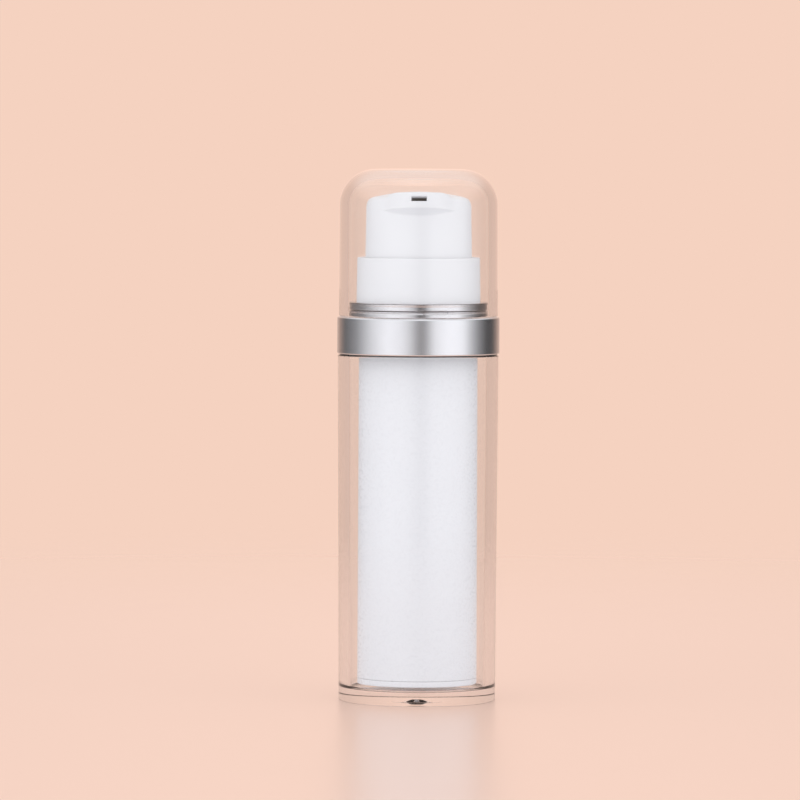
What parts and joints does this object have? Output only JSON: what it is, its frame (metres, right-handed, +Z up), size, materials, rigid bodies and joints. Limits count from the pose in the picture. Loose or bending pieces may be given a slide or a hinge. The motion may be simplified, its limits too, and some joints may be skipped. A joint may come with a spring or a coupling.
{
  "type": "airless pump bottle",
  "caption": "Double-wall airless pump bottle: white inner bottle in a clear sleeve, metal collar, swivelling press-down head and clear over-cap.",
  "frame": {"origin": "centre of the sleeve's base, on the face that the bottle stands on", "axes": "+Z up along the bottle's axis, the spout faces -Y, +X to the right seen from the front"},
  "size_m": [0.0376, 0.0376, 0.123],
  "materials": {
    "clear_styrene": "polished clear moulding",
    "white_polypropylene": "smooth satin moulding",
    "bottle_polypropylene": "smooth moulding",
    "natural_polymer": "natural moulding",
    "anodised_aluminium": "fine brushed and anodised",
    "metallised_abs": "vacuum metallised",
    "spring_steel": "drawn wire",
    "ball_steel": "ground and polished",
    "gasket_rubber": "moulded"
  },
  "bodies": {
    "root": {"outer_sleeve": "clear_styrene", "inner_bottle": "bottle_polypropylene", "base_cap": "bottle_polypropylene", "collar_ring": "metallised_abs", "collar_band": "anodised_aluminium", "neck_sleeve": "white_polypropylene", "pump_closure": "white_polypropylene", "neck_gasket": "gasket_rubber", "pump_housing": "natural_polymer", "lock_ring": "natural_polymer", "return_spring": "spring_steel"},
    "cap": {"over_cap": "clear_styrene"},
    "plunger": {"pump_stem": "natural_polymer", "piston_rod": "natural_polymer", "pump_piston": "natural_polymer"},
    "head": {"actuator_shell": "white_polypropylene", "nozzle_core": "natural_polymer"},
    "outlet_valve": {"outlet_ball": "ball_steel"},
    "inlet_valve": {"inlet_ball": "ball_steel"},
    "follower": {"follower_piston": "natural_polymer"}
  },
  "joints": [
    {"name": "cap_lift", "type": "slide", "parent": "root", "child": "cap", "axis": [0, 0, 1], "range_m": [0, 0.045]},
    {"name": "head_press", "type": "slide", "parent": "root", "child": "plunger", "axis": [0, 0, -1], "range_m": [0, 0.005], "stiffness_N_per_m": 1000, "springref_m": -0.003, "deforming": ["return_spring"]},
    {"name": "head_swivel", "type": "hinge", "parent": "plunger", "child": "head", "pos_m": [0, 0, 0.106], "axis": [0, 0, 1], "continuous": true},
    {"name": "outlet_valve_lift", "type": "slide", "parent": "head", "child": "outlet_valve", "axis": [0, 0, 1], "range_m": [0, 0.0008]},
    {"name": "inlet_valve_lift", "type": "slide", "parent": "root", "child": "inlet_valve", "axis": [0, 0, 1], "range_m": [0, 0.001]},
    {"name": "follower_rise", "type": "slide", "parent": "root", "child": "follower", "axis": [0, 0, 1], "range_m": [0, 0.0596]}
  ]
}
